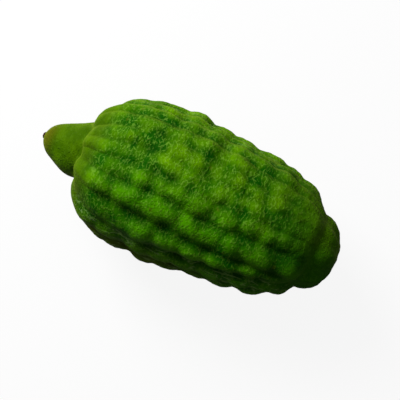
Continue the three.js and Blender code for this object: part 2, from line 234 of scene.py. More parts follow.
# Places where the green is paler, or darker with a share below 0: partly the rind's own tone, partly
# painted light and painted shade put place by place. Each is a station in millimetres, an angle in
# degrees from the top towards -Y, a share, and how many millimetres it reaches along and across
toneAndLightPlaces = [
    (-77, -10, -0.4, 5, 7), (-66, 60, 0.6, 7, 8), (-50, 47, -0.5, 7, 9), (-41, 60, -0.4, 6, 9),
    (-40, 20, 0.5, 6, 5), (-32, 62, 0.4, 9, 8), (-30, 2, -0.5, 7, 8), (-22, -66, 0.4, 6, 6),
    (-20, -45, -0.4, 14, 5), (-19, -22, -0.4, 6, 5), (-11, 35, 0.8, 8, 5), (-9, 2, -0.4, 16, 4),
    (-9, 52, 0.5, 6, 5), (0, -13, 0.4, 5, 4), (2, -28, -0.3, 6, 4), (5, 18, 0.5, 8, 4),
    (10, 27, 0.3, 6, 4), (12, -24, -0.35, 7, 5), (12, 58, 0.4, 8, 6), (21, 2, -0.4, 5, 5),
    (21, 52, 0.6, 6, 5), (31, 28, -0.4, 6, 5), (31, 42, -0.4, 5, 5), (32, -36, -0.4, 8, 9),
    (33, 2, -0.3, 5, 5), (37, -60, -0.4, 8, 7), (41, 35, 0.8, 6, 5), (43, 12, 0.6, 6, 4),
    (45, -5, -0.6, 10, 5), (51, 22, -0.4, 5, 8), (60, 27, 0.5, 6, 6), (67, -50, 0.6, 6, 8),
]

# The dried calyx with its short cut stalk, and the dried stub of the style: lathed outlines whose points
# are a radius and a place along the fruit from the seat outwards, in millimetres
calyx = {
    "radius": 5.3,
    "gap": 0.3,  # that the calyx and the stub keep to the rind
    "outline": [(0, 0), (2.4, 0), (4.6, 0.05), (5.2, 0.2), (5.3, 0.4), (5.1, 0.75), (4.2, 1.1),
                (3.1, 1.35), (2.6, 1.65), (2.35, 2.2), (2.35, 2.65), (2.2, 2.85), (1.7, 2.88),
                (1.1, 2.78), (0.5, 2.74), (0, 2.74)],
    "lobes": 5,
    "lobeDepth": 0.11,  # shares of the radius
    "furrows": 15,
    "furrowDepth": 0.025,
    "rags": 23,
    "ragDepth": 0.02,
    "shrink": 0.03,
    "veinHeight": 0.1,
    "ringHeight": 0.05,  # of the rings on the stalk's cut face
    "rows": 90,
    "columns": 180,
}
stub = {
    "outline": [(0, -1.2), (0.55, -1.42), (1.05, -1.38), (1.45, -1.08), (1.7, -0.62), (1.5, -0.15),
                (0.9, 0), (0, 0)],
    "broadLobes": 0.1,  # shares of the radius
    "narrowLobes": 0.06,
    "ragDepth": 0.03,
    "bendHeight": 0.06,
    "rows": 44,
    "columns": 84,
}

# The fruit's own axis, worked out from where the calyx sits
calyxLow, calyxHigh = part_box("calyx_button")
axisX = calyxLow[0] - (valleyLine[-1][0] * fruit["halfLength"] + calyx["gap"]) * mm
axisY = (calyxLow[1] + calyxHigh[1]) / 2 + fruit["collarShift"] * mm
axisZ = calyxLow[2] + calyx["radius"] * mm


def smooth(value, start, end):
    share = np.clip((value - start) / (end - start), 0, 1)
    return share * share * (3 - 2 * share)


def grown(x, stretch):
    return smooth(x / fruit["halfLength"], *stretches[stretch])


# A smooth line through the points, as evenly spaced points of its own
def splineThrough(points, count, finer=40):
    ends = np.array([points[0], *points, points[-1]], float)
    share = np.linspace(0, len(points) - 1, finer * len(points))
    k = np.minimum(share.astype(int), len(points) - 2)
    t = (share - k)[:, None]
    a, b, c, d = ends[k], ends[k + 1], ends[k + 2], ends[k + 3]
    fine = b + t * ((c - a) / 2 + t * (a - 2.5 * b + 2 * c - d / 2 + t * (1.5 * (b - c) + (d - a) / 2)))
    length = np.append(0, np.cumsum(np.hypot(*np.diff(fine, axis=0).T)))
    places = np.linspace(0, length[-1], count)
    return np.stack([np.interp(places, length, fine[:, 0]), np.interp(places, length, fine[:, 1])], 1)


# The height of one rounded spot, 1 in its middle
def spot(x, angle, radius, station, middle, long, wide, flatness=1.0):
    turn = (angle - math.radians(middle) + math.pi) % (2 * math.pi) - math.pi
    aside = turn * np.maximum(radius, fruit["poleRadius"])
    return np.exp(-(((x - station) / long) ** 2 + (aside / wide) ** 2) ** flatness)


# Many spots as one rounded surface: close spots run together and don't pile up, and tall ones are broad
def union(x, angle, radius, spots, long, wide, sharpness, flatness=1.0):
    total = np.zeros(np.broadcast(x, angle).shape)
    least, more = fruit["spotBreadth"]
    for station, share, middle in spots:
        breadth = least + more * share
        height = spot(x, angle, radius, station, middle, long * breadth, wide * breadth, flatness)
        total += (share * height) ** sharpness
    return total ** (1 / sharpness)


# The valley line as rows of stations and radii, and which way is straight out of the rind at each
def valleyRows():
    line = splineThrough([(x * fruit["halfLength"], r * fruit["bellyRadius"]) for x, r in valleyLine],
                         fruit["rows"])
    line[0, 1] = line[-1, 1] = 0
    along = np.gradient(line, axis=0)
    along /= np.linalg.norm(along, axis=1)[:, None]
    x, radius, outX, outRadius = line[:, 0], line[:, 1], -along[:, 1], along[:, 0]
    return x[:, None], radius[:, None], outX[:, None], outRadius[:, None]


# The columns round the fruit: the number of the rib that each is on, how far across it, and its angle,
# with the angle of the valley after every rib
def ribColumns():
    crest = np.array([rib["crest"] for rib in ribs], float)
    after = (crest + np.append(crest[1:], crest[0] + 360)) / 2
    before = np.append(after[-1] - 360, after[:-1])
    on = np.repeat(np.arange(len(ribs)), fruit["columnsPerRib"])
    across = np.tile(np.arange(fruit["columnsPerRib"]) / fruit["columnsPerRib"], len(ribs))
    degrees = np.where(across < 0.5, before[on] + (crest[on] - before[on]) * across * 2,
                       crest[on] + (after[on] - crest[on]) * (across * 2 - 1))
    return on, across, degrees, after


# Knobs along the crests, hollows along the valleys, and the valleys themselves, each about 0 to 1
def knobsAndHollows(x, angle, radius, on, across, after):
    f = fruit
    knobs = [(s, share, rib["crest"] + f["knobWander"] * math.sin(2.3 * s + rib["crest"]))
             for rib in ribs for s, share in rib["knobs"]]
    hollows = [(s, share, after[n]) for n, rib in enumerate(ribs) for s, share in rib["hollows"]]
    knob = union(x, angle, radius, knobs, f["knobLong"], f["knobWide"], f["knobSharpness"],
                 f["knobFlatness"])
    hollow = union(x, angle, radius, hollows, f["hollowLong"], f["hollowWide"], f["hollowSharpness"])
    groove = np.array([rib["groove"] for rib in ribs])
    fromValley = np.minimum(across, 1 - across)
    valley = np.where(across < 0.5, groove[on - 1], groove[on]) * np.exp(
        -(fromValley / f["valleyWidth"]) ** 2)
    return knob, hollow, valley


# The fuller and flatter places, which reach as far along the fruit as out of it
def fillAt(x, angle, radius):
    fill = sum(place["height"] * spot(x, angle, radius, place["station"], place["angle"],
                                      place["long"], place["wide"]) for place in fullPlaces)
    return smooth(radius / fruit["bellyRadius"], *fruit["fillGrows"]) * fill * math.sqrt(0.5)


# The angles of the columns once the ribs waver, and lean outwards towards the collar
def wavered(x, angle, degrees):
    leaning = np.exp(-((degrees - fruit["leanAngle"]) / fruit["leanWidth"]) ** 2) * grown(x, "lean")
    slow, quick = fruit["ribWaver"]
    waver = slow * np.sin(x / 13 + 2 * angle) + quick * np.sin(x / 7 - 3 * angle + 1)
    return angle + np.radians(waver + fruit["leanTurn"] * leaning)


# Masks by where the skin lies along the fruit and round it
def sideMasks(x, liftedX, turned):
    side, under = np.sin(turned), -np.cos(turned)
    reach = maskStretches
    flank = (smooth(side, *reach["flankSide"])
             + maskShares["farFlank"] * smooth(-side, *reach["flankSide"]))
    return {
        "shoulder": 1 - smooth(liftedX, *reach["shoulder"]),
        "tip": 1 - smooth(liftedX, *reach["tip"]),
        "collar": smooth(liftedX, *reach["collar"]),
        "shaded": smooth(side, *reach["shadedSide"]) * smooth(liftedX, *reach["shadedStart"]),
        "ground": (smooth(under, *reach["groundUnder"]) * smooth(side, *reach["groundSide"])
                   * (1 - smooth(x, *reach["groundEnd"]))),
        "flank": flank * smooth(x, *reach["flankStart"]) * (1 - smooth(x, *reach["flankEnd"])),
    }


# The rind as a grid of rows along the fruit and columns round it, with masks for its material
def rindForm():
    f = fruit
    x, radius, outX, outRadius = valleyRows()
    on, across, degrees, after = ribColumns()
    angle = np.radians(degrees)

    beforeCollar = 1 - grown(x, "bodyEnd")
    ribbed = grown(x, "ribs") * beforeCollar
    knobbed = grown(x, "knobs") * beforeCollar
    bold = f["firstKnobs"] + (1 - f["firstKnobs"]) * grown(x, "fullKnobs")
    lobed = grown(x, "lobes") * (1 - grown(x, "lobesEnd"))
    onCollar = grown(x, "collarRibs") * smooth(radius / f["bellyRadius"], *f["collarRibsGrow"])
    ownRidge = grown(x, "ownRidges")

    ridge = np.array([rib["ridge"] for rib in ribs])[on]
    ridgeShare = f["shoulderRidge"] * (1 - ownRidge) + ridge * ownRidge
    crown = np.sin(math.pi * across) * ridgeShare * f["ridgeHeight"]
    knob, hollow, valley = knobsAndHollows(x, angle, radius, on, across, after)
    swell = (np.sin(x / 6.3 + 3 * angle + 1) * np.cos(x / 9.1 - 5 * angle)
             + 0.7 * np.sin(x / 4.1 - 4 * angle + 2) * np.cos(x / 7.7 + 6 * angle + 0.5))
    lobes = np.cos(f["lobeCount"] * (angle - math.radians(f["lobeTurn"]))) * f["lobeHeight"]
    collarRibs = (np.sin(9 * angle + 0.6) + 0.7 * np.sin(5 * angle + 2)) * f["collarRibHeight"]
    underside = np.maximum(0, -np.cos(angle)) ** 3 * grown(x, "fullUnderside") * f["fullness"]

    bumps = knob * f["knobHeight"] - hollow * f["hollowDepth"] - valley * f["valleyDepth"]
    lift = (ribbed * crown + lobed * lobes + onCollar * collarRibs + beforeCollar * underside
            + knobbed * (bold * bumps + swell * f["swellHeight"]))
    fill = fillAt(x, angle, radius)
    liftedX = x + lift * outX + fill * np.sign(x)
    liftedRadius = radius + lift * outRadius + fill
    shift = (f["nippleShift"] * (1 - grown(liftedX, "nipple"))
             + f["collarShift"] * grown(liftedX, "bodyEnd"))
    turned = wavered(x, angle, degrees)
    grid = np.stack([axisX / mm + liftedX, axisY / mm - liftedRadius * np.sin(turned) - shift,
                     axisZ / mm + liftedRadius * np.cos(turned)], 2)

    share = maskShares
    lobeHollow = np.exp(-(np.minimum(across, 1 - across) / share["lobeHollowWidth"]) ** 2)
    masks = sideMasks(x, liftedX, turned)
    # knob tops and hollows for the material, which paints them lighter and darker, partly as painted
    # light and shade
    masks["knobTop"] = (knobbed * bold * knob * (1 - np.clip(hollow + valley, 0, 1))
                        + share["lobeTop"] * lobed * lobes)
    masks["hollow"] = (knobbed * bold * np.clip(hollow + share["valleyHollow"] * valley, 0, 1)
                       + share["lobeHollow"] * lobed * lobeHollow)
    masks["toneAndLight"] = sum(height * spot(x, angle, radius, station, middle, long, wide)
                        for station, middle, height, long, wide in toneAndLightPlaces)
    return grid, masks


# Pushes each grid point out along its own normal by a height in millimetres
def raiseGrid(grid, height):
    roundStep = np.roll(grid, -1, axis=1) - np.roll(grid, 1, axis=1)
    alongStep = np.gradient(grid, axis=0)
    normal = np.cross(roundStep, alongStep)
    size = np.linalg.norm(normal, axis=2, keepdims=True)
    return grid + normal / np.maximum(size, 1e-9) * height[..., None]


# One closed mesh from a grid in millimetres whose first and last rows are poles
def skin(name, grid, masks=None):
    rows, columns = grid.shape[:2]
    points = np.concatenate([grid[0, :1], grid[1:-1].reshape(-1, 3), grid[-1, :1]]) * mm
    last = len(points) - 1
    ring = np.arange(1, last).reshape(rows - 2, columns)
    nextOne = np.roll(ring, -1, axis=1)
    quads = np.stack([ring[:-1], nextOne[:-1], nextOne[1:], ring[1:]], 2).reshape(-1, 4).tolist()
    caps = [(0, b, a) for a, b in zip(ring[0].tolist(), nextOne[0].tolist())]
    caps += [(last, a, b) for a, b in zip(ring[-1].tolist(), nextOne[-1].tolist())]
    mesh = bpy.data.meshes.new(name)
    mesh.from_pydata(points.tolist(), [], quads + caps)
    mesh.validate()
    mesh.shade_smooth()
    for mask, values in (masks or {}).items():
        flat = np.concatenate([values[0, :1], values[1:-1].reshape(-1), values[-1, :1]])
        mesh.attributes.new(mask, "FLOAT", "POINT").data.foreach_set("value", flat.astype(np.float32))
    piece = bpy.data.objects.new(name, mesh)
    bpy.context.scene.collection.objects.link(piece)
    return piece


# The pebbled skin between the glands: low rounded pebbles with sunk joints, and a slow unevenness
pebbles = {
    "size": 2.4,
    "height": 0.16,
    "waveSize": 7.0,
    "waveHeight": 0.3,
    "smoothShoulder": 0.6,  # share of it that the shoulder and the nipple go without
}


def pebbleHeight(grid, shoulder):
    flat = grid.reshape(-1, 3)
    cells = np.array([noise.voronoi(Vector(p) / pebbles["size"])[0][0] for p in flat])
    waves = np.array([noise.noise(Vector(p) / pebbles["waveSize"]) for p in flat])
    height = (0.5 - cells) * pebbles["height"] * 2 + waves * pebbles["waveHeight"]
    return height.reshape(grid.shape[:2]) * (1 - pebbles["smoothShoulder"] * shoulder)


grid, masks = rindForm()
grid = raiseGrid(grid, pebbleHeight(grid, masks["shoulder"]))
grid[..., 2] = np.maximum(grid[..., 2], 0)  # the lowest knobs are pressed flat on what they rest on
rind = skin("rind", grid, masks)
print("rind:", len(rind.data.polygons), "faces")


# A lathed piece on the fruit's axis, with its radius made ragged and its faces bent by formulas
def turnedPiece(sizes, raggedRadius, bend):
    line = splineThrough(sizes["outline"], sizes["rows"])
    line[0, 0] = line[-1, 0] = 0
    angle = np.linspace(0, 2 * math.pi, sizes["columns"], endpoint=False)
    radius, along = line[:, 0][:, None], line[:, 1][:, None]
    out = radius * raggedRadius(radius, along, angle)
    reach = along + bend(radius, along, angle)
    return np.stack([axisX / mm + reach, axisY / mm - out * np.sin(angle),
                     axisZ / mm + out * np.cos(angle)], 2)


def calyxRadius(radius, along, angle):
    c = calyx
    lobed = 1 - c["lobeDepth"] * (1 + np.cos(c["lobes"] * angle)) * smooth(radius, 2.4, 5)
    furrowed = c["furrowDepth"] * np.sin(c["furrows"] * angle + 1) * smooth(radius, 1.2, 3)
    ragged = c["ragDepth"] * np.sin(c["rags"] * angle + 3 * along) * smooth(radius, 3.5, 5)
    return lobed + furrowed + ragged - c["shrink"]


def calyxBend(radius, along, angle):
    c = calyx
    seat = valleyLine[-1][0] * fruit["halfLength"] + c["gap"]
    face = smooth(along, 0.3, 1.2)
    vein = c["veinHeight"] * np.cos(c["lobes"] * angle + math.pi) * smooth(radius, 2.6, 4.6) * face
    onCut = (1 - smooth(radius, 1.6, 2.2)) * smooth(along, 2.2, 2.6)
    rings = c["ringHeight"] * np.sin(9 * radius) * onCut
    return seat + vein + rings


def stubRadius(radius, along, angle):
    lobed = 1 + stub["broadLobes"] * np.sin(3 * angle + 1) + stub["narrowLobes"] * np.sin(5 * angle)
    return lobed + stub["ragDepth"] * np.sin(11 * angle + 4 * along)


def stubBend(radius, along, angle):
    seat = valleyLine[0][0] * fruit["halfLength"] - calyx["gap"]
    outside = smooth(radius, 0.3, 1) * smooth(-along, 0.5, 1)
    return seat + stub["bendHeight"] * np.sin(5 * angle + 1) * outside


calyxGrid = turnedPiece(calyx, calyxRadius, calyxBend)
calyxGrid[..., 1] -= fruit["collarShift"]
driedCalyx = skin("driedCalyx", calyxGrid)
stubGrid = turnedPiece(stub, stubRadius, stubBend)
stubGrid[..., 1] -= fruit["nippleShift"]
driedStyle = skin("driedStyle", stubGrid)
print("calyx and style:", len(driedCalyx.data.polygons), "and", len(driedStyle.data.polygons), "faces")


# An sRGB colour as written in a paint box, 0 to 255, for a node's colour socket
def paint(red, green, blue):
    shares = (red / 255, green / 255, blue / 255)
    return tuple(s / 12.92 if s <= 0.04045 else ((s + 0.055) / 1.055) ** 2.4 for s in shares) + (1.0,)


def addNode(tree, kind, at=(0, 0), **settings):
    node = tree.nodes.new(kind)
    node.location = at
    for setting, value in settings.items():
        setattr(node, setting, value)
    return node


# Links another node's socket, or sets a plain value
def feed(tree, value, socket):
    if isinstance(value, bpy.types.NodeSocket):
        tree.links.new(value, socket)
    else:
        socket.default_value = value


def maths(tree, operation, *values, clamp=False):
    node = addNode(tree, "ShaderNodeMath", operation=operation, use_clamp=clamp)
    for socket, value in zip(node.inputs, values):
        feed(tree, value, socket)
    return node.outputs[0]


# A value eased from one range into another and held at both ends
def rescale(tree, value, fromLow, fromHigh, toLow=0.0, toHigh=1.0):
    node = addNode(tree, "ShaderNodeMapRange", interpolation_type="SMOOTHSTEP")
    for socket, number in zip(node.inputs, (value, fromLow, fromHigh, toLow, toHigh)):
        feed(tree, number, socket)
    return node.outputs[0]


def mixColour(tree, share, base, top, blend="MIX"):
    node = addNode(tree, "ShaderNodeMix", data_type="RGBA", blend_type=blend)
    feed(tree, share, node.inputs[0])
    feed(tree, base, node.inputs[6])  # 6, 7 and the output 2 are the sockets for colours
    feed(tree, top, node.inputs[7])
    return node.outputs[2]


# An empty group for a pattern: a vector and some named values go in, and one mask or height comes out
def newGroup(name, output, **values):
    tree = bpy.data.node_groups.new(name, "ShaderNodeTree")
    tree.interface.new_socket("Vector", in_out="INPUT", socket_type="NodeSocketVector")
    for label, value in values.items():
        socket = tree.interface.new_socket(label, in_out="INPUT", socket_type="NodeSocketFloat")
        socket.default_value = value
    tree.interface.new_socket(output, in_out="OUTPUT", socket_type="NodeSocketFloat")
    start = addNode(tree, "NodeGroupInput", (-600, 0))
    end = addNode(tree, "NodeGroupOutput", (600, 0))
    return tree, start.outputs, end.inputs[output]


# Places a group with its values and gives back its one output
def placeGroup(tree, group, **values):
    node = addNode(tree, "ShaderNodeGroup", node_tree=group)
    for label, value in values.items():
        feed(tree, value, node.inputs[label])
    return node.outputs[0]


# A vector in units of a pattern's size
def scaledBy(tree, vector, size):
    node = addNode(tree, "ShaderNodeVectorMath", operation="DIVIDE")
    feed(tree, vector, node.inputs[0])
    feed(tree, size, node.inputs[1])
    return node.outputs[0]


# The same with a size along the fruit, and one round it that is longer by the stretch
def stretchedBy(tree, vector, size, stretch):
    around = maths(tree, "MULTIPLY", size, stretch)
    sizes = addNode(tree, "ShaderNodeCombineXYZ")
    for socket, value in zip(sizes.inputs, (size, around, around)):
        tree.links.new(value, socket)
    return scaledBy(tree, vector, sizes.outputs[0])


# A place moved about by a noise of a given scale, so that even patterns grow crooked
def crooked(tree, place, scale, amount):
    warp = addNode(tree, "ShaderNodeTexNoise")
    warp.inputs["Scale"].default_value = scale
    tree.links.new(place, warp.inputs["Vector"])
    moved = addNode(tree, "ShaderNodeVectorMath", operation="MULTIPLY_ADD")
    tree.links.new(warp.outputs["Color"], moved.inputs[0])
    moved.inputs[1].default_value = (amount, amount, amount)
    tree.links.new(place, moved.inputs[2])
    return moved.outputs[0]


# The cells of a pattern one unit wide, by their distance from the middle or from the edge
def cellsAt(tree, place, feature):
    cells = addNode(tree, "ShaderNodeTexVoronoi", feature=feature)
    cells.inputs["Scale"].default_value = 1.0
    tree.links.new(place, cells.inputs["Vector"])
    return cells.outputs


# Round pits about one spacing apart: 0 in a pit's middle and 1 on the skin between pits
def makeGlands():
    tree, given, result = newGroup("oilGlands", "Height", Spacing=1.2 * mm)
    place = crooked(tree, scaledBy(tree, given["Vector"], given["Spacing"]), scale=0.7, amount=1.2)
    rise = rescale(tree, cellsAt(tree, place, "F1")["Distance"], fromLow=0.1, fromHigh=0.62)
    tree.links.new(rise, result)
    return tree


# Short crooked strokes: the rims of larger cells, broken off here and there. The cells are longer
# round the fruit by the stretch.
def makeRims():
    tree, given, result = newGroup("brokenRims", "Mask", Size=2 * mm, Stretch=1.0)
    place = stretchedBy(tree, given["Vector"], given["Size"], given["Stretch"])
    cells = cellsAt(tree, crooked(tree, place, scale=1.1, amount=0.8), "DISTANCE_TO_EDGE")
    line = rescale(tree, cells["Distance"], fromLow=0.16, fromHigh=0.03)
    breaks = addNode(tree, "ShaderNodeTexNoise")
    breaks.inputs["Scale"].default_value = 1.4
    tree.links.new(place, breaks.inputs["Vector"])
    left = rescale(tree, breaks.outputs["Fac"], fromLow=0.42, fromHigh=0.58)
    tree.links.new(maths(tree, "MULTIPLY", left, line), result)
    return tree


# Soft patches of a given size along the fruit, longer round it by the stretch, 0 to 1
def makeMottle():
    tree, given, result = newGroup("mottle", "Mask", Size=6 * mm, Stretch=1.0, Softness=0.15)
    place = stretchedBy(tree, given["Vector"], given["Size"], given["Stretch"])
    cloud = addNode(tree, "ShaderNodeTexNoise")
    cloud.inputs["Scale"].default_value = 1.0
    cloud.inputs["Detail"].default_value = 3.0
    tree.links.new(place, cloud.inputs["Vector"])
    low = maths(tree, "SUBTRACT", 0.5, given["Softness"])
    high = maths(tree, "ADD", 0.5, given["Softness"])
    tree.links.new(rescale(tree, cloud.outputs["Fac"], low, high), result)
    return tree


# Sparse small marks, such as scars and dry specks
def makeSpecks():
    tree, given, result = newGroup("specks", "Mask", Size=3 * mm, Share=0.1)
    place = crooked(tree, scaledBy(tree, given["Vector"], given["Size"]), scale=2.0, amount=0.5)
    cells = cellsAt(tree, place, "F1")
    chance = addNode(tree, "ShaderNodeSeparateColor")
    tree.links.new(cells["Color"], chance.inputs[0])
    picked = maths(tree, "LESS_THAN", chance.outputs[0], given["Share"])
    near = rescale(tree, cells["Distance"], fromLow=0.42, fromHigh=0.12)
    tree.links.new(maths(tree, "MULTIPLY", picked, near), result)
    return tree


glands = makeGlands()
rims = makeRims()
mottle = makeMottle()
specks = makeSpecks()


def newMaterial(name, roughness, specular, tint):
    material = bpy.data.materials.new(name)
    material.use_nodes = True
    tree = material.node_tree
    shader = tree.nodes["Principled BSDF"]
    shader.inputs["Roughness"].default_value = roughness
    shader.inputs["Specular IOR Level"].default_value = specular
    shader.inputs["Specular Tint"].default_value = tint
    place = addNode(tree, "ShaderNodeTexCoord", (-1400, 0)).outputs["Object"]
    return material, tree, shader, place


def attribute(tree, name):
    return addNode(tree, "ShaderNodeAttribute", attribute_name=name).outputs["Fac"]


# A share that a mask takes some of away: the pair is the share, and how much the full mask takes
def lessened(tree, pair, mask):
    share, taken = pair
    return maths(tree, "MULTIPLY_ADD", mask, -taken, share)


# A normal raised by a height, over another normal if there is one under it
def bumped(tree, height, distance, under=None):
    node = addNode(tree, "ShaderNodeBump")
    node.inputs["Strength"].default_value = 1.0
    node.inputs["Distance"].default_value = distance
    feed(tree, height, node.inputs["Height"])
    if under is not None:
        tree.links.new(under, node.inputs["Normal"])
    return node.outputs[0]


rindLook = {
    "leaf": paint(16, 86, 0),  # between the knobs and the hollows
    # knob tops lighter and yellower, partly painted light
    "knob": paint(100, 154, 0),
    # the dark green of the hollows, partly painted shade there, and of the darker patches
    "deep": paint(1, 58, 3),
    "shade": paint(195, 246, 255),  # painted shade: every colour is multiplied by it on the side away from the key light
    "olive": paint(68, 93, 0),  # the shoulder and the nipple
    "tip": paint(100, 84, 8),
    # the collar end's olive: partly its own colour, partly painted shade towards that end, away from the
    # key light
    "collar": paint(62, 102, 4),
    "ground": paint(84, 84, 10),  # the low side of the nipple's half
    # painted glints: the pale colour of the rims, which are also raised in the bump
    "glintRim": paint(132, 182, 60),
    "crease": paint(130, 164, 92),  # painted highlights along fine creases on the flanks, which are also raised in the bump
    "paintedSheen": paint(140, 172, 40),  # painted sheen: a paler green where the skin is seen at a shallow angle
    "scar": paint(84, 104, 18),
    "glandSpacing": 1.25 * mm,
    "glandDepth": 0.13 * mm,
    "rimSize": 1.45 * mm,
    "rimStretch": 2.0,
    "rimHeight": 0.1 * mm,
    "creaseLength": 14 * mm,
    "creaseStretch": 0.15,
    "creaseFineness": 3.0,
    "patchSize": 5.5 * mm,
    "patchStretch": 1.8,
    "patchSoftness": 0.14,
    "fleckSize": 2.2 * mm,
    "fleckSoftness": 0.12,
    "scarSize": 3.5 * mm,
    "scarDensity": 0.03,
    "roughness": 0.52,
    "pitGloss": 0.12,  # how much smoother the glands are, and how much rougher the skin between them
    "skinDullness": 0.1,
    "specular": 0.05,
    "specularTint": (0.75, 1.0, 0.05, 1.0),
}

# How much of its colour each mask lays on, 1 being all. A pair is the share, and how much of it a
# second mask takes away.
rindShares = {
    "patchLight": 0.5,
    "knobLight": 0.75,
    "toneLight": 0.6,
    "hollow": 0.94,
    "fleckFill": 0.2,  # how much flecks lighten a hollow
    "olive": (0.6, 0.3),  # less where the paler places of tone and painted light lie
    "collar": (0.75, 0.5),  # less in hollows
    "fleck": (0.18, 0.16),  # less on the calm shoulder
    "toneDark": 0.35,
    "glintRim": (0.38, 0.38),  # none where the skin is all quiet
    "rimInHollow": (1.0, 0.45),
    "ground": (0.5, -0.3),  # more on patches
    "crease": 0.6,
    "tip": 0.65,
    "scar": 0.5,
    "paintedSheen": (0.7, 0.6),  # less on the side with painted shade
    "paintedSheenFineness": 4.0,
    "calm": (0.2, 0.95),  # from where to where of the shoulder's mask the skin grows calm
    "quietShoulder": 0.85,  # how quiet the skin is there, for the rims
    "quietShade": 0.25,
    "quietCollar": 0.8,
}


# The masks that the rind's mesh carries, and those of the patterns on it
def rindPatterns(tree, place):
    look = rindLook
    names = ("knobTop", "hollow", "shoulder", "collar", "shaded", "toneAndLight", "tip", "ground", "flank")
    masks = {name: attribute(tree, name) for name in names}
    masks["gland"] = placeGroup(tree, glands, Vector=place, Spacing=look["glandSpacing"])
    masks["glintRim"] = placeGroup(tree, rims, Vector=place, Size=look["rimSize"],
                              Stretch=look["rimStretch"])
    creases = placeGroup(tree, rims, Vector=place, Size=look["creaseLength"],
                         Stretch=look["creaseStretch"])
    fine = maths(tree, "POWER", creases, look["creaseFineness"])
    masks["crease"] = maths(tree, "MULTIPLY", fine, masks["flank"])
    masks["patch"] = placeGroup(tree, mottle, Vector=place, Size=look["patchSize"],
                                Stretch=look["patchStretch"], Softness=look["patchSoftness"])
    masks["fleck"] = placeGroup(tree, mottle, Vector=place, Size=look["fleckSize"],
                                Softness=look["fleckSoftness"])
    masks["scar"] = placeGroup(tree, specks, Vector=place, Size=look["scarSize"],
                               Share=look["scarDensity"])
    return masks


# The rind's colour: lighter knobs and dark hollows, partly painted light and painted shade, then the
# shoulder, the collar's olive with some painted shade, the darker places, and the painted shade of the
# side away from the key light; over them the rims' painted glints, the creases' painted highlights, the
# browned tip, the scars and a painted sheen at shallow angles
def rindColour(tree, masks):
    look, share = rindLook, rindShares
    toneAndLight, fleck, shaded = masks["toneAndLight"], masks["fleck"], masks["shaded"]

    def times(a, b):
        return maths(tree, "MULTIPLY", a, b)

    # lighter on the knob tops and darker in the hollows: partly the rind's own colour, partly painted
    # light and shade
    light = maths(tree, "MULTIPLY_ADD", masks["patch"], share["patchLight"],
                  times(masks["knobTop"], share["knobLight"]))
    # the paler places: partly the rind's own tone, partly painted light
    light = maths(tree, "MULTIPLY_ADD", toneAndLight, share["toneLight"], light, clamp=True)
    colour = mixColour(tree, light, look["leaf"], look["knob"])
    sunk = times(masks["hollow"], share["hollow"])
    sunk = maths(tree, "MULTIPLY_ADD", fleck, -share["fleckFill"], sunk, clamp=True)
    colour = mixColour(tree, sunk, colour, look["deep"])
    calm = rescale(tree, masks["shoulder"], *share["calm"])
    olive = times(calm, lessened(tree, share["olive"], toneAndLight))
    colour = mixColour(tree, olive, colour, look["olive"])
    # an olive that darkens the knobs towards the collar end, partly as painted shade
    collar = times(masks["collar"], lessened(tree, share["collar"], sunk))
    colour = mixColour(tree, collar, colour, look["collar"])
    # darker flecks, and the darker places, partly painted shade
    dark = times(fleck, lessened(tree, share["fleck"], calm))
    dark = maths(tree, "MULTIPLY_ADD", toneAndLight, -share["toneDark"], dark, clamp=True)
    colour = mixColour(tree, dark, colour, look["deep"])
    # painted shade: the side away from the key light made darker and bluer
    colour = mixColour(tree, shaded, colour, look["shade"], "MULTIPLY")

    quiet = times(calm, share["quietShoulder"])
    quiet = maths(tree, "MAXIMUM", quiet, times(shaded, share["quietShade"]))
    quiet = maths(tree, "MAXIMUM", quiet, times(masks["collar"], share["quietCollar"]))
    # painted glints on the rims, fewer on the calm shoulder, on the painted-shade side and on the collar
    glintRim = times(masks["glintRim"], lessened(tree, share["glintRim"], quiet))
    glintRim = times(glintRim, lessened(tree, share["rimInHollow"], sunk))
    colour = mixColour(tree, glintRim, colour, look["glintRim"])
    ground = times(masks["ground"], lessened(tree, share["ground"], masks["patch"]))
    colour = mixColour(tree, ground, colour, look["ground"])
    # the creases' painted highlights, the browned tip and the scars
    for name in ("crease", "tip", "scar"):
        colour = mixColour(tree, times(masks[name], share[name]), colour, look[name])
    # painted sheen: Layer Weight mixes the paler green into the colour at shallow angles
    facing = addNode(tree, "ShaderNodeLayerWeight").outputs["Facing"]
    paintedSheen = maths(tree, "POWER", facing, share["paintedSheenFineness"])
    paintedSheen = times(paintedSheen, lessened(tree, share["paintedSheen"], shaded))
    return mixColour(tree, paintedSheen, colour, look["paintedSheen"])


def rindMaterial():
    look = rindLook
    material, tree, shader, place = newMaterial(
        "greenRind", look["roughness"], look["specular"], look["specularTint"])
    masks = rindPatterns(tree, place)
    tree.links.new(rindColour(tree, masks), shader.inputs["Base Color"])
    gloss = rescale(tree, masks["gland"], 0, 1, look["roughness"] - look["pitGloss"],
                    look["roughness"] + look["skinDullness"])
    tree.links.new(gloss, shader.inputs["Roughness"])
    pitted = bumped(tree, masks["gland"], look["glandDepth"])
    raised = maths(tree, "MAXIMUM", masks["glintRim"], masks["crease"])
    tree.links.new(bumped(tree, raised, look["rimHeight"], under=pitted), shader.inputs["Normal"])
    return material


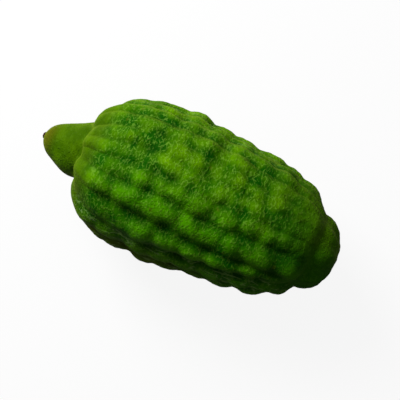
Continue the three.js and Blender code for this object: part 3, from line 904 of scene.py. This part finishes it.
calyxLook = {"pale": paint(118, 122, 58), "dark": paint(84, 66, 32), "roughness": 0.7, "size": 2.2 * mm}
styleLook = {"pale": paint(74, 46, 22), "dark": paint(36, 22, 12), "roughness": 0.75, "size": 1.2 * mm}
dryLook = {
    "fibreSize": 0.2,  # share of the patches' size, as is the next
    "markSize": 0.5,
    "markDensity": 0.25,
    "patchSoftness": 0.18,
    "fibreSoftness": 0.1,
    "fibreShare": 0.4,
    "markShare": 0.6,
    "fibreHeight": 0.1 * mm,
    "fibreGloss": 0.1,
    "fibreDullness": 0.08,
    "specular": 0.25,
    "specularTint": (1.0, 0.95, 0.8, 1.0),
}


# A dry, fibrous finish in two browns, with the patches' size and the roughness of each piece
def dryMaterial(name, pale, dark, roughness, size):
    dry = dryLook
    material, tree, shader, place = newMaterial(name, roughness, dry["specular"], dry["specularTint"])
    patches = placeGroup(tree, mottle, Vector=place, Size=size, Softness=dry["patchSoftness"])
    fibres = placeGroup(tree, mottle, Vector=place, Size=size * dry["fibreSize"],
                        Softness=dry["fibreSoftness"])
    marks = placeGroup(tree, specks, Vector=place, Size=size * dry["markSize"],
                       Share=dry["markDensity"])
    colour = mixColour(tree, patches, pale, dark)
    colour = mixColour(tree, maths(tree, "MULTIPLY", fibres, dry["fibreShare"]), colour, dark)
    colour = mixColour(tree, maths(tree, "MULTIPLY", marks, dry["markShare"]), colour, dark)
    tree.links.new(colour, shader.inputs["Base Color"])
    gloss = rescale(tree, fibres, 0, 1, roughness - dry["fibreGloss"], roughness + dry["fibreDullness"])
    tree.links.new(gloss, shader.inputs["Roughness"])
    tree.links.new(bumped(tree, fibres, dry["fibreHeight"]), shader.inputs["Normal"])
    return material


rind.data.materials.append(rindMaterial())
driedCalyx.data.materials.append(dryMaterial("driedCalyx", **calyxLook))
driedStyle.data.materials.append(dryMaterial("driedStyle", **styleLook))
for piece, node, slot in ((rind, "fruit", "rind"), (driedCalyx, "calyx_button", "calyx"),
                          (driedStyle, "style_stub", "dried_style")):
    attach(piece, "root")
    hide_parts(node)
print("materials: done")

# Plain studio: a pale floor that stays white to the camera and keeps a soft shadow, one broad key
# light, a weak fill and an even sky
studio = {
    "floorSize": 6.0,
    "floorRoughness": 0.9,
    "floor": (0.18, 0.18, 0.18, 1.0),  # as it lights the fruit from below
    "seenFloor": (0.9, 0.9, 0.9, 1.0),  # as the camera sees it
    "white": 0.9,  # how much of the seen floor's brightness is its own
    "sky": 0.12,
    "key": {"azimuth": 242, "elevation": 38, "distance": 0.7, "size": 0.34, "power": 6.0},
    "fill": {"azimuth": 205, "elevation": 50, "distance": 1.2, "size": 0.9, "power": 1.6},
}


def direction(azimuth, elevation):
    a, e = math.radians(azimuth), math.radians(elevation)
    return Vector((math.sin(a) * math.cos(e), -math.cos(a) * math.cos(e), math.sin(e)))


middle = Vector((axisX, axisY, axisZ))


def addLamp(name, azimuth, elevation, distance, size, power):
    lamp = bpy.data.objects.new(name, bpy.data.lights.new(name, "AREA"))
    lamp.data.size = size
    lamp.data.energy = power
    towards = direction(azimuth, elevation)
    lamp.location = middle + towards * distance
    lamp.rotation_euler = towards.to_track_quat("Z", "Y").to_euler()
    bpy.context.scene.collection.objects.link(lamp)


def addFloor():
    half = studio["floorSize"] / 2
    mesh = bpy.data.meshes.new("floor")
    corners = [(-half, -half, 0), (half, -half, 0), (half, half, 0), (-half, half, 0)]
    mesh.from_pydata(corners, [], [(0, 1, 2, 3)])
    floor = bpy.data.objects.new("floor", mesh)
    bpy.context.scene.collection.objects.link(floor)
    material = bpy.data.materials.new("paleFloor")
    material.use_nodes = True
    tree = material.node_tree
    shader = tree.nodes["Principled BSDF"]
    shader.inputs["Roughness"].default_value = studio["floorRoughness"]
    shader.inputs["Specular IOR Level"].default_value = 0.0
    toCamera = addNode(tree, "ShaderNodeLightPath").outputs["Is Camera Ray"]
    colour = mixColour(tree, toCamera, studio["floor"], studio["seenFloor"])
    tree.links.new(colour, shader.inputs["Base Color"])
    own = addNode(tree, "ShaderNodeEmission")
    blend = addNode(tree, "ShaderNodeMixShader")
    tree.links.new(maths(tree, "MULTIPLY", toCamera, studio["white"]), blend.inputs[0])
    tree.links.new(shader.outputs[0], blend.inputs[1])
    tree.links.new(own.outputs[0], blend.inputs[2])
    tree.links.new(blend.outputs[0], tree.nodes["Material Output"].inputs["Surface"])
    mesh.materials.append(material)


addFloor()
addLamp("key", **studio["key"])
addLamp("fill", **studio["fill"])
scene = bpy.context.scene
scene.world = bpy.data.worlds.new("sky")
scene.world.use_nodes = True
sky = scene.world.node_tree.nodes["Background"]
sky.inputs["Color"].default_value = (1.0, 1.0, 1.0, 1.0)
sky.inputs["Strength"].default_value = studio["sky"]
scene.view_settings.view_transform = "Standard"

# The camera looks steeply down on the fruit, which runs from the upper left to the lower right
shot = {
    "azimuth": 24,
    "elevation": 84,
    "distance": 0.45,
    "halfWidth": 0.1,  # of what the camera sees at the fruit
    "height": 0.038,  # of the point that it is aimed at, above the floor
    "right": 0.00475,  # of the fruit's axis, as the camera sees it
    "down": 0.002,
    "filmWidth": 36,
}
camera = bpy.data.objects.new("camera", bpy.data.cameras.new("camera"))
backwards = direction(shot["azimuth"], shot["elevation"])
rightwards = direction(shot["azimuth"] + 90, 0)
upwards = backwards.cross(rightwards)
target = Vector((axisX, axisY, shot["height"])) + rightwards * shot["right"] - upwards * shot["down"]
camera.location = target + backwards * shot["distance"]
camera.rotation_euler = backwards.to_track_quat("Z", "Y").to_euler()
camera.data.sensor_width = shot["filmWidth"]
camera.data.lens = shot["filmWidth"] / 2 * shot["distance"] / shot["halfWidth"]
scene.collection.objects.link(camera)
scene.camera = camera
print("studio: done")
